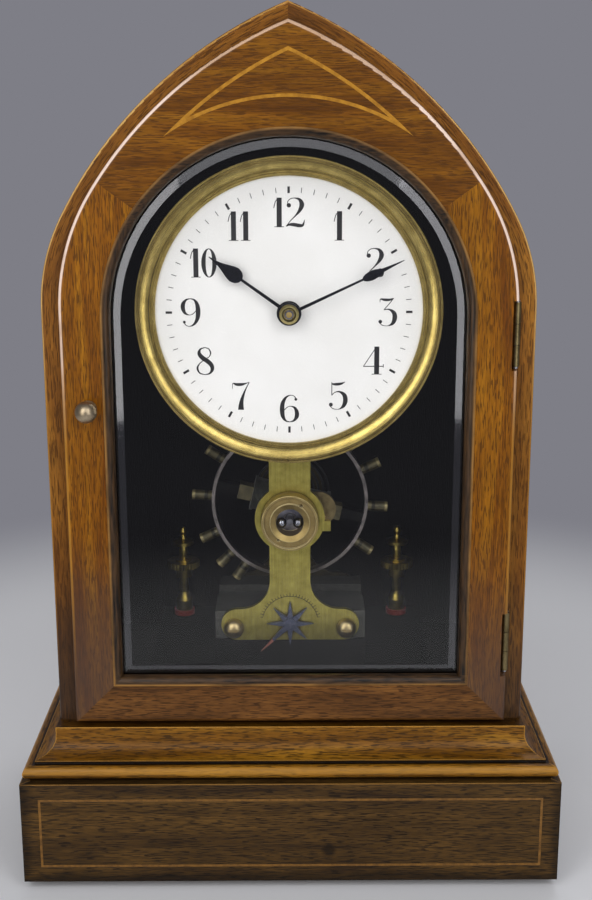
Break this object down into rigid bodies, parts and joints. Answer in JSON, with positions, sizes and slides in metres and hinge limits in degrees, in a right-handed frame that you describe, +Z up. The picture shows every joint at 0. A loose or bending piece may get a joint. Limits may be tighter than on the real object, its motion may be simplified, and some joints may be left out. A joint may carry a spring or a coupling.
{
  "type": "lancet mantel clock",
  "caption": "Wooden lancet mantel clock with a glazed door, a white dial and an electric balance wheel that shows below it.",
  "frame": {"origin": "middle of the footprint, on the surface the feet stand on", "axes": "+Z up, -Y towards the viewer at the dial, +X to the viewer's right"},
  "size_m": [0.2286, 0.142, 0.3651],
  "materials": {
    "door_wood": "waxed figured hardwood",
    "case_wood": "waxed figured hardwood",
    "base_wood": "waxed dark hardwood",
    "stringing": "pale inlaid line",
    "ebonised_wood": "black stained",
    "carcase_wood": "plain unpolished softwood",
    "glass": "clear, bevelled",
    "brass": "lacquered",
    "dull_brass": "worn",
    "steel": "satin",
    "blued_steel": "blued",
    "iron": "grey",
    "enamel": "white enamel on copper",
    "winding": "silk-covered wire",
    "fibre": "red fibre",
    "cell": "zinc can",
    "pad": "dark pad"
  },
  "bodies": {
    "case": {"plinth_front": "base_wood", "plinth_sides": "base_wood", "plinth_back": "carcase_wood", "plinth_stringing": "stringing", "base_moulding": "base_wood", "bottom_board": "carcase_wood", "feet": "pad", "deck_board": "carcase_wood", "case_wall_left": "case_wood", "case_wall_right": "case_wood", "case_arch_left": "case_wood", "case_arch_right": "case_wood", "back_panel": "carcase_wood", "case_screws": "steel", "hinge_case_leaves": "brass", "hinge_pins": "steel", "dial": "enamel", "dial_bezel": "brass", "front_plate": "brass", "back_plate": "dull_brass", "bed_plate": "iron", "plate_nuts": "brass", "movement_seat": "ebonised_wood", "hairspring": "blued_steel", "bearing_cups": "brass", "bearing_balls": "steel", "contact_disc": "dull_brass", "terminal_posts": "brass", "terminal_nuts": "brass", "terminal_washers": "fibre", "battery_cell": "cell", "battery_contacts": "brass"},
    "door": {"door_stile_left": "door_wood", "door_stile_right": "door_wood", "door_rail_bottom": "door_wood", "door_rail_arch": "door_wood", "door_inlay": "stringing", "sight_bead": "ebonised_wood", "door_glass": "glass", "glass_retainer": "ebonised_wood", "hinge_door_leaves": "brass", "hinge_screws_door": "steel"},
    "catch": {"door_knob": "dull_brass", "catch_tongue": "brass"},
    "minute": {"minute_hand": "blued_steel", "hand_collet": "brass", "centre_arbor": "brass"},
    "hour": {"hour_hand": "blued_steel", "hour_wheel": "brass"},
    "minute_wheel": {"minute_wheel": "brass"},
    "intermediate": {"intermediate_wheel": "brass"},
    "ratchet": {"ratchet_wheel": "brass"},
    "pawl": {"pawl_lever": "steel"},
    "balance": {"balance_rim": "steel", "balance_core": "steel", "balance_coils": "winding", "balance_nuts": "brass", "balance_staff": "steel", "balance_screws": "brass"},
    "regulator": {"regulator_star": "blued_steel"}
  },
  "joints": [
    {"name": "door_swing", "type": "hinge", "parent": "case", "child": "door", "pos_m": [0.0914, -0.0508, 0.17], "axis": [0, 0, 1], "range_deg": [0, 100]},
    {"name": "catch_turn", "type": "hinge", "parent": "door", "child": "catch", "pos_m": [-0.081, -0.05, 0.208], "axis": [0, 1, 0], "range_deg": [0, 90]},
    {"name": "minute_turn", "type": "hinge", "parent": "case", "child": "minute", "pos_m": [0, -0.03, 0.2433], "axis": [0, 1, 0], "continuous": true},
    {"name": "hour_turn", "type": "hinge", "parent": "case", "child": "hour", "pos_m": [0, -0.03, 0.2433], "axis": [0, 1, 0], "continuous": true},
    {"name": "minute_wheel_turn", "type": "hinge", "parent": "case", "child": "minute_wheel", "pos_m": [0.012, -0.025, 0.2433], "axis": [0, 1, 0], "continuous": true},
    {"name": "intermediate_turn", "type": "hinge", "parent": "case", "child": "intermediate", "pos_m": [0, 0, 0.2223], "axis": [0, 1, 0], "continuous": true},
    {"name": "ratchet_turn", "type": "hinge", "parent": "case", "child": "ratchet", "pos_m": [0, 0, 0.2013], "axis": [0, 1, 0], "continuous": true},
    {"name": "pawl_lift", "type": "hinge", "parent": "case", "child": "pawl", "pos_m": [0.007, -0.008, 0.1805], "axis": [0, 1, 0], "range_deg": [0, 6], "stiffness_Nm_per_rad": 0.0002},
    {"name": "balance_swing", "type": "hinge", "parent": "case", "child": "balance", "pos_m": [0, 0.007, 0.1516], "axis": [0, 1, 0], "range_deg": [-150, 150], "stiffness_Nm_per_rad": 0.001},
    {"name": "regulator_turn", "type": "hinge", "parent": "case", "child": "regulator", "pos_m": [0, -0.024, 0.1033], "axis": [0, 1, 0], "range_deg": [-35, 35]}
  ],
  "couplings": [
    {"joint": "hour_turn", "follows": "minute_turn", "ratio": 0.083333},
    {"joint": "minute_wheel_turn", "follows": "minute_turn", "ratio": -0.33333},
    {"joint": "intermediate_turn", "follows": "minute_turn", "ratio": -6},
    {"joint": "ratchet_turn", "follows": "minute_turn", "ratio": 36}
  ]
}
